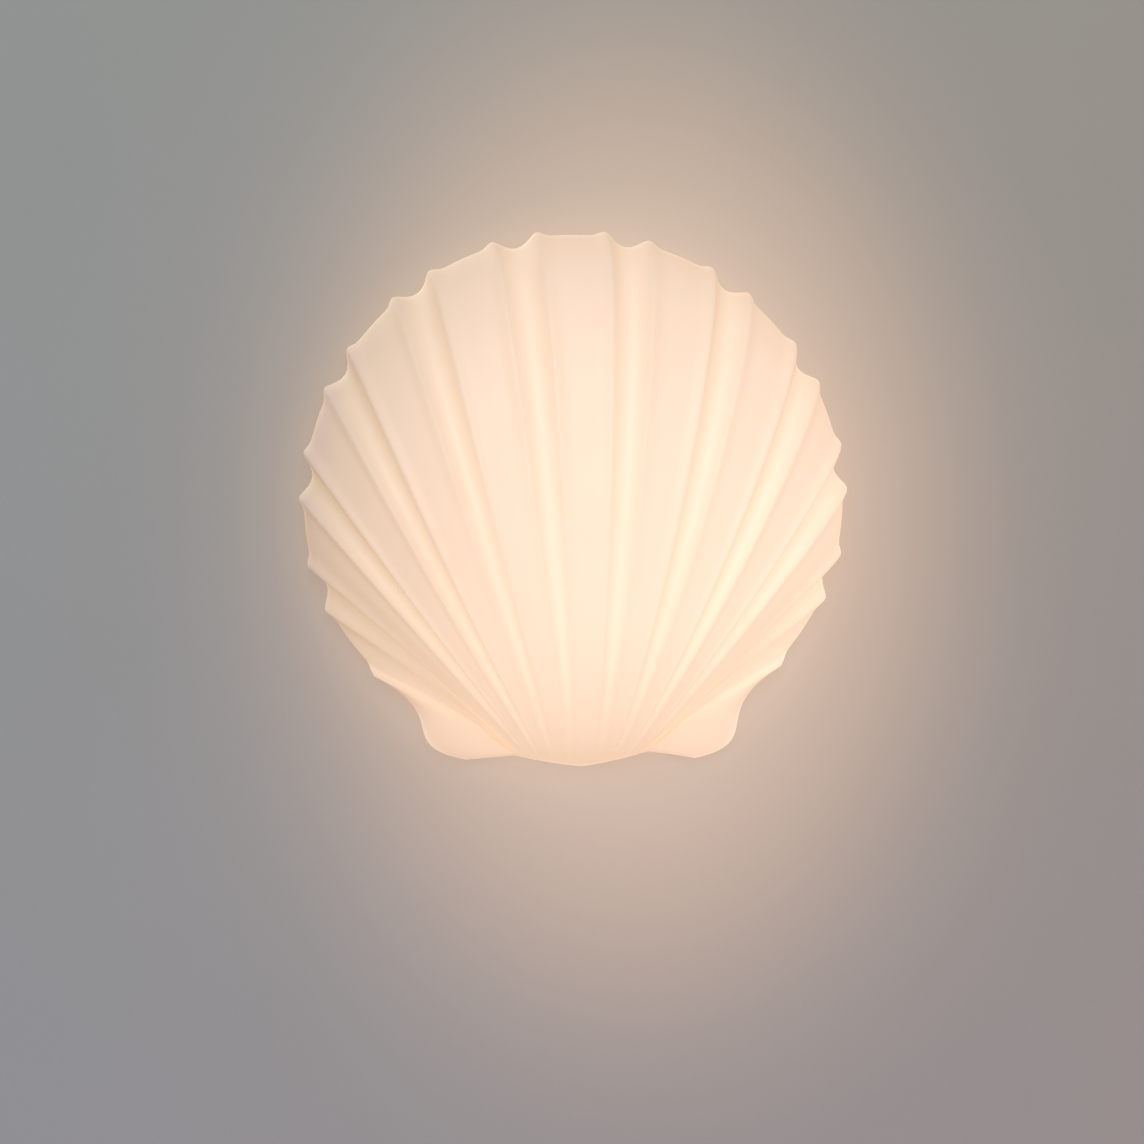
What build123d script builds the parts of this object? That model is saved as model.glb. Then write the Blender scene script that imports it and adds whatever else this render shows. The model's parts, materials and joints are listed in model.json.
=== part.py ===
"""Shell wall sconce: an open-backed opal glass scallop shell that hangs on a steel wall plate.

All sizes are in millimetres.  The wall is the plane Y = 0, the lamp stands off it towards -Y, and Z is up.
The origin is the middle of the wall plate's back face.
"""

from build123d import *
import math
import os

# --- The wall plate and what hangs the shade on it --------------------------------------------------------
plate_width = 104.0
plate_height = 180.0
plate_sheet = 1.5
plate_flange = 6.0
plate_corner = 8.0
slot_spacing_x = 60.0
slot_spacing_z = 116.0
slot_length = 14.0
slot_width = 5.0
hook_spacing = 64.0
hook_width = 20.0
hook_below_rim = 34.5
hook_reach = 14.0
hook_angle = 45.0
sleeve_wall = 0.8
rest_gap = 0.3
sleeve_share = 0.7

# --- The glass shell --------------------------------------------------------------------------------------
wall_gap = 2.5
rim_radius = 140.5
beak_drop = 131.0
glass_wall = 4.0
skirt_depth = 6.0
crown_depth = 74.0
ear_crown = 5.0
crown_place = 0.12
fan_lean = 1.3
rib_pitch = 12.25
rib_share = 0.612
rib_count = 11
groove_depth = 5.6
bead_height = 2.0
bead_width = 0.055
relief_growth = 0.75
base_half_width = 34.0
base_spread = 0.7
base_rise = 6.4
base_rise_growth = 1.3
crown_fall = 0.9
line_bow = 11.0
line_bow_place = 0.394
line_bow_end = 0.985
ear_edge_start = (58.0, 3.6)
ear_corner = (95.3, 11.2)
ear_neck = (64.3, 25.7)
ear_corner_inset = (1.0, 1.1)
ear_neck_inset = (1.0, 0.2)
ear_span = 0.30
line_steps = 14
strip_steps = 4
bead_tip_length = 3.0
bead_tip_slope = 35.0
last_line_inset = 0.0105
last_rib_draw_in = 15.9
outer_rib_power = 9
lug_width = 16.0
lug_thickness = 5.0
lug_root_inset = 2.0

# --- The two soft feet that keep the shell's ears off the wall --------------------------------------------
foot_length = 14.0
foot_width = 3.2
foot_place = 52.0
foot_inset = 3.0

# --- The lampholder on its bracket ------------------------------------------------------------------------
holder_axis_off_wall = 31.0
bracket_face = -32.0
bracket_sheet = 1.5
bracket_width = 26.0
bracket_foot = 22.0
bracket_end = 13.0
bracket_screw_inset = 13.0
bracket_screw_spacing = 16.0
nipple_radius = 4.95
nipple_bore = 3.6
nipple_tail = 4.0
thread_play = 0.05
locknut_flats = 14.0
locknut_height = 3.0
holder_radius = 13.5
holder_wall = 1.7
cap_length = 16.0
cap_end_wall = 5.0
cap_bevel = 2.0
body_length = 27.0
body_rounding = 1.2
body_bore_play = 0.9
core_seat = 4.0
core_flange = 3.7
core_nose = 3.3
core_tail = 5.0
core_tail_radius = 7.6
core_clearance = 0.3
post_radius = 1.25
shell_post_offset = 5.0
contact_post_offset = -1.3
screw_shell_wall = 0.5
screw_shell_length = 18.5
screw_shell_floor_hole = 3.4
screw_shell_first_ring = 1.0
contact_disc_radius = 2.6
contact_disc_height = 1.1

# --- The bulb (small screw cap, golf-ball glass) ----------------------------------------------------------
thread_pitch = 2.82
thread_crest = 6.95
thread_depth = 0.5
bulb_radius = 22.5
bulb_length = 78.0
bulb_glass_wall = 0.9
bulb_shoulder_radius = 8.0
bulb_neck_length = 6.0
bulb_cap_length = 15.5
bulb_cap_wall = 0.4
bulb_cap_first_ring = 1.2
bulb_cap_plain_end = 3.0
bulb_tip_length = 1.0
bulb_tip_radius = 2.4
bulb_insulator_length = 2.2
bulb_insulator_radius = 5.4
bulb_insulator_lip = 0.4
stem_radius = 3.0
stem_length = 24.0
stem_wire_offset = 1.6
stem_wire_depth = 4.0
stem_wire_straight = 1.0
filament_span = 18.0
filament_radius = 0.35
filament_bow = 4.0
support_wire_radius = 0.4
support_wire_bend = 1.5
support_wire_spread = 0.6

# --- The wiring -------------------------------------------------------------------------------------------
lead_radius = 1.0
lead_post_run = 2.6
lead_nipple_run = 0.6
lead_tail_run = 6.0
lead_side_drop = 20.0
lead_side_depth = 4.0
lead_block_rise = 12.0
lead_block_run = 5.0
lead_block_sweep = (6.0, 3.0)
lead_parting = 4.0
lead_parting_rise = 1.6
earth_lead_run = 7.0
block_width = 30.0
block_height = 16.0
block_depth = 13.0
block_place = -60.0
block_pole_pitch = 10.0
block_entry_radius = 2.3
block_rounding = 1.5
block_insert_inset = 1.5
insert_bore = 1.25
insert_wall = 0.9
terminal_screw_radius = 1.5
terminal_screw_pitch = 8.0
terminal_screw_head = 1.9
terminal_head_height = 1.4
terminal_screw_reach = 1.2
terminal_screw_grip = 0.2
block_screw_radius = 1.5
block_screw_head = 2.5
small_screw_radius = 2.0
small_screw_head_radius = 3.6
small_screw_head_height = 2.2
screw_slot_width = 0.8
screw_slot_share = 0.4
screw_rounding_share = 0.4
earth_screw_head = 3.0
earth_place = (24.0, -24.0)
tag_radius = 4.0
tag_sheet = 0.8
tag_barrel_radius = 1.7
tag_barrel_length = 6.0
tag_barrel_lap = 0.6
tag_grip = 3.0
entry_place = -80.0
entry_hole_radius = 6.5
grommet_bore = 3.2
grommet_flange = 2.0
grommet_flange_radius = 8.5
fit_play = 0.1

axis_y = -holder_axis_off_wall
plate_face = -plate_sheet
rim_plane = -wall_gap


# --- Helpers ----------------------------------------------------------------------------------------------
def block(x_range, y_range, z_range):
    """Box between three pairs of limits."""
    size = [high - low for low, high in (x_range, y_range, z_range)]
    middle = [(high + low) / 2 for low, high in (x_range, y_range, z_range)]
    return Pos(*middle) * Box(*size)


def rod(radius, start, end):
    """Round bar between the centres of its two end faces."""
    start, end = Vector(*start), Vector(*end)
    return extrude(Plane(origin=start, z_dir=end - start) * Circle(radius), amount=(end - start).length)


def on_holder_axis(along, sideways=0.0, up=0.0):
    """Point at a distance along X on the lampholder's axis, moved sideways towards the wall or up."""
    return (along, axis_y + sideways, up)


def holder_rod(radius, start, end, sideways=0.0):
    """Round bar on, or beside, the lampholder's axis."""
    return rod(radius, on_holder_axis(start, sideways), on_holder_axis(end, sideways))


def holder_turned(profile):
    """Turned part on the lampholder's axis, from its (distance along X, radius) outline."""
    outline = Polyline(*[(along, radius) for along, radius in profile], close=True)
    face = make_face(outline)
    return Pos(0, axis_y, 0) * revolve(face, axis=Axis.X)


def screw(radius, head_radius, head_height, seat, tip):
    """Pan-head screw along Y: its head stands on the seat towards -Y, its shank runs to the tip."""
    x, seat_y, z = seat
    head = rod(head_radius, (x, seat_y, z), (x, seat_y - head_height, z))
    head = fillet(head.edges().group_by(Axis.Y)[0], head_height * screw_rounding_share)
    x_range = (x - head_radius, x + head_radius)
    y_range = (seat_y - head_height, seat_y - head_height * (1 - screw_slot_share))
    slot = block(x_range, y_range, (z - screw_slot_width / 2, z + screw_slot_width / 2))
    return head + rod(radius, (x, seat_y, z), (x, tip, z)) - slot


def lead(points):
    """Insulated wire of straight runs and tangent arcs, each arc as large as its two runs allow."""
    corners = [Vector(*point) for point in points]
    radii = []
    for before, here, after in zip(corners, corners[1:], corners[2:]):
        shorter = min((here - before).length, (after - here).length)
        turn = math.radians((here - before).get_angle(after - here))
        radii.append(0.45 * shorter / math.tan(turn / 2))
    print("lead radii", [round(radius, 1) for radius in radii])
    path = FilletPolyline(*corners, radius=radii)
    return sweep(Plane(origin=path @ 0, z_dir=path % 0) * Circle(lead_radius), path=path)


# --- The glass shell's surface ----------------------------------------------------------------------------
fan_half_turns = (rib_count - 1) / 2 + rib_share / 2


def cubic(points, share):
    """Point on a cubic Bezier curve in the plan."""
    rest = 1 - share
    weights = (rest**3, 3 * rest * rest * share, 3 * rest * share * share, share**3)
    return [sum(weight * point[k] for weight, point in zip(weights, points)) for k in (0, 1)]


def fan_line(turns, inset):
    """Control points, seen from the front and from the beak, of one line that runs up the shell.

    turns says how many rib pitches the line stands from the shell's middle.  The outermost ribs end short of
    the rim's circle.
    """
    share = turns / fan_half_turns
    outermost = abs(share) ** outer_rib_power
    angle = math.radians(turns * rib_pitch) - math.copysign(last_line_inset * inset * outermost, turns)
    to_circle = math.sqrt((rim_radius - inset) ** 2 - (beak_drop * math.sin(angle)) ** 2)
    reach = beak_drop * math.cos(angle) + to_circle - last_rib_draw_in * outermost
    side = abs(share) ** base_spread
    start_x = math.copysign((base_half_width - inset) * side, turns)
    start = (start_x, base_rise * side**base_rise_growth + inset)
    bowed = angle + math.radians(line_bow) * math.sin(math.pi * share * line_bow_end)
    middle = (line_bow_place * reach * math.sin(bowed), line_bow_place * reach * math.cos(bowed))
    end = (reach * math.sin(angle), reach * math.cos(angle))
    first = [start[k] + 2 / 3 * (middle[k] - start[k]) for k in (0, 1)]
    second = [end[k] + 2 / 3 * (middle[k] - end[k]) for k in (0, 1)]
    return [start, first, second, end]


def ear_line(inset):
    """Control points of the right ear's outer edge, from its lower side round its corner to the last rib."""
    last = fan_line(fan_half_turns, inset)[3]
    slope = math.radians(bead_tip_slope)
    end = (last[0] - bead_tip_length * math.cos(slope), last[1] - bead_tip_length * math.sin(slope))
    start = (ear_edge_start[0] - inset, ear_edge_start[1] + inset)
    corner = (ear_corner[0] - ear_corner_inset[0] * inset, ear_corner[1] + ear_corner_inset[1] * inset)
    neck = (ear_neck[0] - ear_neck_inset[0] * inset, ear_neck[1] + ear_neck_inset[1] * inset)
    return [start, corner, neck, end]


def way_up(up):
    """Share of a line, seen from the front, at an angle up over the crown."""
    return (1 - math.cos(up)) / 2 + crown_place * math.sin(up) ** 2


def smooth_point(across, up, inset):
    """Point of the shell before its ribs.

    across runs from the left ear's edge over the fan, which is -1 to 1, to the right ear's edge; up is the
    angle from 0 at the lower edge to pi at the rim.  Depth is the crown times sin(up).
    """
    fan = max(-1.0, min(1.0, across))
    ear = min(1.0, max(0.0, abs(across) - 1.0) / ear_span)
    line = fan_line(fan * fan_half_turns, inset)
    swell = crown_depth - skirt_depth - ear_crown
    crown = ear_crown + swell * math.cos(math.pi / 2 * abs(fan)) ** crown_fall
    if ear > 0:
        side = math.copysign(1.0, across)
        edge = [(side * x, z) for x, z in ear_line(inset)]
        line = [[(1 - ear) * a + ear * b for a, b in zip(p, q)] for p, q in zip(line, edge)]
        crown = ear_crown * (1 - ear**4)
    share = way_up(up)
    x, z = cubic(line, share)
    lean = math.radians(fan_lean) * (1 - ear * (1 - share))
    turned_x = x * math.cos(lean) - z * math.sin(lean)
    turned_z = z * math.cos(lean) + x * math.sin(lean)
    beak_x = beak_drop * math.sin(math.radians(fan_lean))
    depth = crown * math.sin(up) + skirt_depth - inset
    return Vector(turned_x + beak_x, rim_plane - depth, turned_z - beak_drop)


def relief(turns):
    """Height of the profile against its crests: flat ribs with beaded edges, and round grooves between."""
    place = abs(turns - round(turns))
    half_rib = rib_share / 2
    if place <= half_rib:
        return -bead_height * (1 - math.exp(-(((half_rib - place) / bead_width) ** 2)))
    half_groove = 0.5 - half_rib
    return -groove_depth * (1 - ((0.5 - place) / half_groove) ** 2)


def shell_point(across, up, inset):
    """Smooth point moved along its normal by the relief, which fades out at the beak."""
    here = smooth_point(across, up, inset)
    if abs(across) >= 1:
        return here
    step = 1e-4
    along = smooth_point(across + step, up, inset) - smooth_point(across - step, up, inset)
    upward = smooth_point(across, up + step, inset) - smooth_point(across, up - step, inset)
    normal = along.cross(upward).normalized()
    return here + normal * (relief(across * fan_half_turns) * way_up(up) ** relief_growth)


def strip_places():
    """Limits across the shell of its left ear, its ribs and grooves in turn, and its right ear."""
    half_rib = rib_share / 2
    crests = []
    for rib in range(-(rib_count // 2), rib_count // 2 + 1):
        crests += [rib - half_rib, rib + half_rib]
    fan = [crest / fan_half_turns for crest in crests]
    return [-1 - ear_span, *fan, 1 + ear_span]


def shell_line(across, inset):
    """Curve up the shell's surface, over the crown, at one place across it."""
    points = [shell_point(across, math.pi * k / line_steps, inset) for k in range(line_steps + 1)]
    return Wire([Spline(*points)])


def shell_skin(inset):
    """Curved faces of the shell, outside or a wall further in: one for each rib, groove and ear."""
    limits = strip_places()
    skins = []
    for low, high in zip(limits, limits[1:]):
        lines = [shell_line(low + (high - low) * k / strip_steps, inset) for k in range(strip_steps + 1)]
        skins += Shell.make_loft(lines).faces()
    return skins


def skirt_walls(skins, inset):
    """Straight walls from the edge of the curved faces down to the plane of the rim."""
    drop = Vector(0, skirt_depth - inset, 0)
    level = rim_plane - (skirt_depth - inset)
    walls = []
    for skin in skins:
        for edge in skin.edges():
            if all(abs((edge @ share).Y - level) < 1e-4 for share in (0, 0.3, 0.7, 1)):
                walls.append(Face.extrude(edge, drop))
    return walls


def hang_lug(side, plan):
    """Pressed glass lug inside the shell's top edge, bevelled to sit on one hook; it ends inside the wall."""
    x = side * hook_spacing / 2
    seat = sleeve_wall + rest_gap
    rise = hook_bend() + seat / math.cos(math.radians(hook_angle))
    back = rim_plane
    front = rim_plane - lug_thickness
    top = rim_radius
    slope = math.tan(math.radians(hook_angle))
    profile = Polyline(
        (back, rise - back * slope), (front, rise - front * slope), (front, top), (back, top), close=True
    )
    face = Plane(origin=(x - lug_width / 2, 0, 0), x_dir=(0, 1, 0), z_dir=(1, 0, 0)) * make_face(profile)
    return extrude(face, amount=lug_width) & plan


def glass_shell():
    """Open-backed scallop shell with its two ears and its two inner lugs."""
    faces = []
    rims = []
    for inset in (0.0, glass_wall, lug_root_inset):
        skins = shell_skin(inset)
        walls = skirt_walls(skins, inset)
        rims.append(Wire([wall.edges().sort_by(Axis.Y)[-1] for wall in walls]))
        faces.append([*skins, *walls])
    outer, inner, lug_root = rims
    shell = Solid(Shell([*faces[0], *faces[1], Face(outer, [inner])]))
    plan = Solid.extrude(Face(lug_root), Vector(0, -skirt_depth, 0))
    for side in (-1, 1):
        shell += hang_lug(side, plan)
    return shell


def shell_feet():
    """Soft feet on the back of the shell's edge, below its ears."""
    beak_x = beak_drop * math.sin(math.radians(fan_lean))
    middle = -beak_drop + ear_edge_start[1] + foot_inset
    feet = []
    for side in (-1, 1):
        x = beak_x + side * foot_place
        z_range = (middle - foot_width / 2, middle + foot_width / 2)
        feet.append(block((x - foot_length / 2, x + foot_length / 2), (rim_plane, 0), z_range))
    return Compound(children=feet)


# --- The wall plate ---------------------------------------------------------------------------------------
def plate_hole(radius, x, z):
    """Round bar that fills a hole through the plate's sheet."""
    return rod(radius, (x, 0, z), (x, plate_face, z))


def wall_plate():
    """Folded steel plate: two side flanges, two hooks, four fixing slots, cable entry and screw holes."""
    half_w, half_h = plate_width / 2, plate_height / 2
    blank = Rectangle(plate_width, plate_height)
    blank = fillet(blank.vertices(), plate_corner)
    facing_wall = Plane(origin=(0, 0, 0), x_dir=(1, 0, 0), z_dir=(0, -1, 0))
    plate = extrude(facing_wall * blank, amount=plate_sheet)
    for side in (-1, 1):
        edge = side * half_w
        x_range = sorted((edge, edge - side * plate_sheet))
        straight = half_h - plate_corner
        plate += block(x_range, (-plate_flange, 0), (-straight, straight))
        plate += hook(side)
        for level in (-1, 1):
            place = Pos(side * slot_spacing_x / 2, level * slot_spacing_z / 2)
            plate -= extrude(facing_wall * place * SlotOverall(slot_length, slot_width), amount=plate_sheet)
    plate -= plate_hole(entry_hole_radius, 0, entry_place)
    for x, z in [*bracket_screw_places(), earth_place]:
        plate -= plate_hole(small_screw_radius + thread_play, x, z)
    return plate - plate_hole(block_screw_radius + thread_play, block_screw_x(), block_place)


def hook_bend():
    """Height at which the hooks turn away from the wall, inside the shell's top edge."""
    return rim_radius - hook_below_rim


def hook_directions():
    """Unit vectors out along a hook's slope, and down through its sheet."""
    turn = math.radians(hook_angle)
    return Vector(0, -math.cos(turn), math.sin(turn)), Vector(0, -math.sin(turn), -math.cos(turn))


def hook(side):
    """One hook, part of the plate's sheet."""
    out, through = hook_directions()
    tip = Vector(0, 0, hook_bend()) + out * hook_reach
    under = tip + through * plate_sheet
    start = plate_height / 2 - plate_corner
    inner_z = hook_bend() - plate_sheet * math.tan(math.radians(hook_angle) / 2)
    points = [
        (0, start),
        (0, hook_bend()),
        (tip.Y, tip.Z),
        (under.Y, under.Z),
        (-plate_sheet, inner_z),
        (-plate_sheet, start),
    ]
    x = side * hook_spacing / 2 - hook_width / 2
    section = make_face(Polyline(*points, close=True))
    face = Plane(origin=(x, 0, 0), x_dir=(0, 1, 0), z_dir=(1, 0, 0)) * section
    return extrude(face, amount=hook_width)


def hook_sleeves():
    """Silicone sleeves over the two hooks, so that glass never meets steel."""
    out, through = hook_directions()
    length = hook_reach * sleeve_share
    sleeves = []
    for side in (-1, 1):
        foot = Vector(side * hook_spacing / 2, 0, hook_bend()) + out * (hook_reach - length)
        frame = Plane(origin=foot + through * (plate_sheet / 2), x_dir=(1, 0, 0), z_dir=out)
        outer = frame * Rectangle(hook_width + 2 * sleeve_wall, plate_sheet + 2 * sleeve_wall)
        inner = frame * Rectangle(hook_width, plate_sheet)
        sleeves.append(extrude(outer, amount=length + sleeve_wall) - extrude(inner, amount=length))
    return Compound(children=sleeves)


# --- The bracket and the lampholder -----------------------------------------------------------------------
def bracket_screw_places():
    """The two screws of the bracket's foot, as (X, Z)."""
    x = bracket_face + bracket_screw_inset
    return [(x, side * bracket_screw_spacing / 2) for side in (-1, 1)]


def block_screw_x():
    """The terminal block's fixing screw stands between two poles."""
    return block_pole_pitch / 2


def lampholder_bracket():
    """Angle of steel sheet: its foot lies on the plate and its upright carries the lampholder."""
    half = bracket_width / 2
    foot_top = plate_face - bracket_sheet
    end_y = axis_y - bracket_end
    back = bracket_face - bracket_sheet
    foot = block((back, bracket_face + bracket_foot), (foot_top, plate_face), (-half, half))
    upright = block((back, bracket_face), (end_y, plate_face), (-half, half))
    upright = fillet(upright.edges().filter_by(Axis.X).group_by(Axis.Y)[0], bracket_width / 4)
    bracket = foot + upright
    bracket -= holder_rod(nipple_radius + thread_play, back, bracket_face)
    for x, z in bracket_screw_places():
        bracket -= rod(small_screw_radius + fit_play, (x, plate_face, z), (x, foot_top, z))
    return bracket


def bracket_screws():
    """The two screws that hold the bracket on the plate."""
    seat = plate_face - bracket_sheet
    screws = []
    for x, z in bracket_screw_places():
        place = (x, seat, z)
        screws.append(screw(small_screw_radius, small_screw_head_radius, small_screw_head_height, place, 0))
    return Compound(children=screws)


def threaded_nipple():
    """Hollow threaded tube through the bracket's upright, for the lampholder and its leads."""
    start = bracket_face - bracket_sheet - nipple_tail
    end = bracket_face + cap_end_wall
    return holder_rod(nipple_radius, start, end) - holder_rod(nipple_bore, start, end)


def nipple_locknut():
    """Hexagon nut on the nipple, behind the bracket."""
    end = bracket_face - bracket_sheet
    start = end - locknut_height
    frame = Plane(origin=on_holder_axis(start), x_dir=(0, 0, 1), z_dir=(1, 0, 0))
    hexagon = RegularPolygon(locknut_flats / 2, 6, major_radius=False)
    nut = extrude(frame * hexagon, amount=locknut_height)
    return nut - holder_rod(nipple_radius + thread_play, start, end)


def lampholder_cap():
    """Rear half of the lampholder, with its threaded end and the room for the wires."""
    start = bracket_face
    end = start + cap_length
    cap = holder_rod(holder_radius, start, end)
    cap = chamfer(cap.edges().group_by(Axis.X)[0], cap_bevel)
    cap -= holder_rod(holder_radius - holder_wall, start + cap_end_wall, end)
    return cap - holder_rod(nipple_radius + thread_play, start, start + cap_end_wall)


def lampholder_body():
    """Front half of the lampholder: the sleeve round the screw shell, with the seat of the core behind."""
    start = bracket_face + cap_length
    end = start + body_length
    body = holder_rod(holder_radius, start, end)
    body = fillet(body.edges().group_by(Axis.X)[-1], body_rounding)
    body -= holder_rod(holder_radius - holder_wall, start, start + core_seat)
    return body - holder_rod(thread_crest + thread_play + 2 * screw_shell_wall + body_bore_play, start, end)


def core_front():
    """Front face of the lampholder's core, on which the screw shell stands."""
    return bracket_face + cap_length + core_flange + core_nose


def lampholder_core():
    """Porcelain core that carries the screw shell and the centre contact."""
    seat = bracket_face + cap_length
    core = holder_rod(holder_radius - holder_wall - core_clearance, seat, seat + core_flange)
    core += holder_rod(thread_crest + thread_play + screw_shell_wall, seat, core_front())
    core += holder_rod(core_tail_radius, seat - core_tail, seat)
    for sideways in (shell_post_offset, contact_post_offset):
        core -= holder_rod(post_radius, seat - core_tail, core_front(), sideways)
    return core


def lampholder_screw_shell():
    """Rolled brass thread of the lampholder, with its floor and the post that takes the neutral wire."""
    start = core_front()
    bore = thread_crest + thread_play
    turns = int(screw_shell_length / thread_pitch)
    outline = [(start, screw_shell_floor_hole), (start, bore + screw_shell_wall)]
    inner = [(start + screw_shell_wall, screw_shell_floor_hole), (start + screw_shell_wall, bore)]
    for turn in range(turns):
        foot = start + screw_shell_first_ring + turn * thread_pitch
        outline += [(foot, bore + screw_shell_wall), (foot + thread_pitch / 2, bore + 2 * screw_shell_wall)]
        inner += [(foot, bore), (foot + thread_pitch / 2, bore + screw_shell_wall)]
    end = start + screw_shell_length
    outline += [(end, bore + screw_shell_wall), (end, bore)]
    shell = holder_turned(outline + inner[::-1])
    post_start = bracket_face + cap_length - core_tail
    return shell + holder_rod(post_radius, post_start, start + screw_shell_wall, shell_post_offset)


def lampholder_centre_contact():
    """Brass centre contact, with the post that takes the live wire."""
    start = core_front()
    disc = holder_rod(contact_disc_radius, start, start + contact_disc_height)
    post_start = bracket_face + cap_length - core_tail
    return disc + holder_rod(post_radius, post_start, start, contact_post_offset)


# --- The bulb ---------------------------------------------------------------------------------------------
def bulb_tip():
    """The end of the bulb's centre contact, just off the lampholder's own."""
    return core_front() + contact_disc_height + rest_gap


def bulb_cap_start():
    """Where the bulb's screw cap begins."""
    return bulb_tip() + bulb_tip_length + bulb_insulator_length


def bulb_contact():
    """Solder tip of the bulb's cap."""
    return holder_rod(bulb_tip_radius, bulb_tip(), bulb_tip() + bulb_tip_length)


def bulb_insulator():
    """Black glass ring between the solder tip and the screw cap."""
    start = bulb_tip() + bulb_tip_length
    end = start + bulb_insulator_length
    tip = bulb_tip_radius + bulb_insulator_lip
    return holder_turned([(start, 0), (start, tip), (end, bulb_insulator_radius), (end, 0)])


def bulb_cap():
    """Rolled screw cap of the bulb."""
    start = bulb_cap_start()
    end = start + bulb_cap_length
    root = thread_crest - thread_depth
    outline = [(start, 0), (start, bulb_insulator_radius)]
    for turn in range(int(bulb_cap_length / thread_pitch) - 1):
        foot = start + bulb_cap_first_ring + turn * thread_pitch
        outline += [(foot, root), (foot + thread_pitch / 2, thread_crest)]
    bore = root - bulb_cap_wall
    floor = start + bulb_cap_wall
    outline += [(end - bulb_cap_plain_end, root), (end, root), (end, bore), (floor, bore), (floor, 0)]
    return holder_turned(outline)


def bulb_glass():
    """Frosted golf-ball envelope with its neck in the cap."""
    cap_end = bulb_cap_start() + bulb_cap_length
    centre = bulb_tip() + bulb_length - bulb_radius
    neck = thread_crest - thread_depth - bulb_cap_wall - fit_play
    shoulder = cap_end + fit_play

    def turned(inset):
        """Solid inside the envelope's outline, moved in by a wall."""
        ball = bulb_radius - inset
        shoulder_radius = bulb_shoulder_radius - inset
        turn = shoulder + inset
        distance = math.hypot(centre - turn, shoulder_radius)
        slope = math.asin(ball / distance) - math.atan2(shoulder_radius, centre - turn)
        touch = (centre - ball * math.sin(slope), ball * math.cos(slope))
        middle_angle = (math.pi / 2 + slope) / 2
        middle = (centre + ball * math.cos(middle_angle), ball * math.sin(middle_angle))
        start = cap_end - bulb_neck_length
        edges = Polyline(
            (start, 0), (start, neck - inset), (turn, neck - inset), (turn, shoulder_radius), touch
        )
        arc = ThreePointArc(touch, middle, (centre + ball, 0))
        closing = Line((centre + ball, 0), (start, 0))
        return revolve(make_face(edges + arc + closing), axis=Axis.X)

    return Pos(0, axis_y, 0) * (turned(0.0) - turned(bulb_glass_wall))


def stem_end():
    """Top of the glass stem inside the bulb."""
    return bulb_cap_start() + bulb_cap_wall + stem_length


def bulb_stem():
    """Glass stem that stands on the cap's floor and holds the lead wires."""
    start = bulb_cap_start() + bulb_cap_wall
    stem = holder_rod(stem_radius, start, stem_end())
    wire_play = support_wire_radius + fit_play
    for side in (-1, 1):
        start_point = on_holder_axis(stem_end() - stem_wire_depth, 0, side * stem_wire_offset)
        stem -= rod(wire_play, start_point, on_holder_axis(stem_end(), 0, side * stem_wire_offset))
    return stem


def bulb_lead_wires():
    """The two wires from the stem up to the filament's ends."""
    reach = bulb_tip() + bulb_length - bulb_radius - stem_end()
    wires = []
    for side in (-1, 1):
        points = [
            on_holder_axis(stem_end() - stem_wire_depth + fit_play, 0, side * stem_wire_offset),
            on_holder_axis(stem_end() + stem_wire_straight, 0, side * stem_wire_offset),
            on_holder_axis(stem_end() + reach * support_wire_spread, 0, side * filament_span / 2),
            on_holder_axis(stem_end() + reach, 0, side * filament_span / 2),
        ]
        path = FilletPolyline(*[Vector(*point) for point in points], radius=support_wire_bend)
        wires.append(sweep(Plane(origin=path @ 0, z_dir=path % 0) * Circle(support_wire_radius), path=path))
    return Compound(children=wires)


def bulb_filament():
    """Coiled filament, as one slim bowed bar between the lead wires."""
    centre = bulb_tip() + bulb_length - bulb_radius + support_wire_radius + filament_radius
    half = filament_span / 2
    arc = ThreePointArc(
        Vector(*on_holder_axis(centre, 0, -half)),
        Vector(*on_holder_axis(centre + filament_bow)),
        Vector(*on_holder_axis(centre, 0, half)),
    )
    return sweep(Plane(origin=arc @ 0, z_dir=arc % 0) * Circle(filament_radius), path=arc)


# --- The wiring -------------------------------------------------------------------------------------------
def pole_places():
    """X of the terminal block's poles: live, neutral, earth."""
    return [-block_pole_pitch, 0.0, block_pole_pitch]


def block_middle_y():
    """Depth of the wire entries of the terminal block."""
    return plate_face - block_depth / 2


def terminal_block():
    """Moulded body of the three-pole terminal block."""
    half_w, half_h = block_width / 2, block_height / 2
    front = plate_face - block_depth
    body = block((-half_w, half_w), (front, plate_face), (block_place - half_h, block_place + half_h))
    body = fillet(body.edges().filter_by(Axis.Y), block_rounding)
    y = block_middle_y()
    for x in pole_places():
        body -= rod(block_entry_radius, (x, y, block_place - half_h), (x, y, block_place + half_h))
        for side in (-1, 1):
            z = block_place + side * terminal_screw_pitch / 2
            body -= rod(terminal_screw_head + fit_play, (x, y, z), (x, front, z))
    x = block_screw_x()
    return body - rod(block_screw_radius + fit_play, (x, plate_face, block_place), (x, front, block_place))


def terminal_inserts():
    """Brass tubes of the terminal block, one for each pole."""
    y = block_middle_y()
    half = block_height / 2 - block_insert_inset
    inserts = []
    for x in pole_places():
        start, end = (x, y, block_place - half), (x, y, block_place + half)
        tube = rod(insert_bore + insert_wall, start, end) - rod(insert_bore, start, end)
        for side in (-1, 1):
            z = block_place + side * terminal_screw_pitch / 2
            tube -= rod(terminal_screw_radius + thread_play, (x, y, z), (x, y - 2 * insert_bore, z))
        inserts.append(tube)
    return Compound(children=inserts)


def terminal_screws():
    """The clamping screws of the terminal block, two for each pole."""
    y = block_middle_y()
    screws = []
    for x in pole_places():
        for side in (-1, 1):
            z = block_place + side * terminal_screw_pitch / 2
            seat = (x, y - insert_bore - insert_wall - terminal_screw_reach, z)
            tip = y - lead_radius - terminal_screw_grip
            screws.append(screw(terminal_screw_radius, terminal_screw_head, terminal_head_height, seat, tip))
    return Compound(children=screws)


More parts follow.
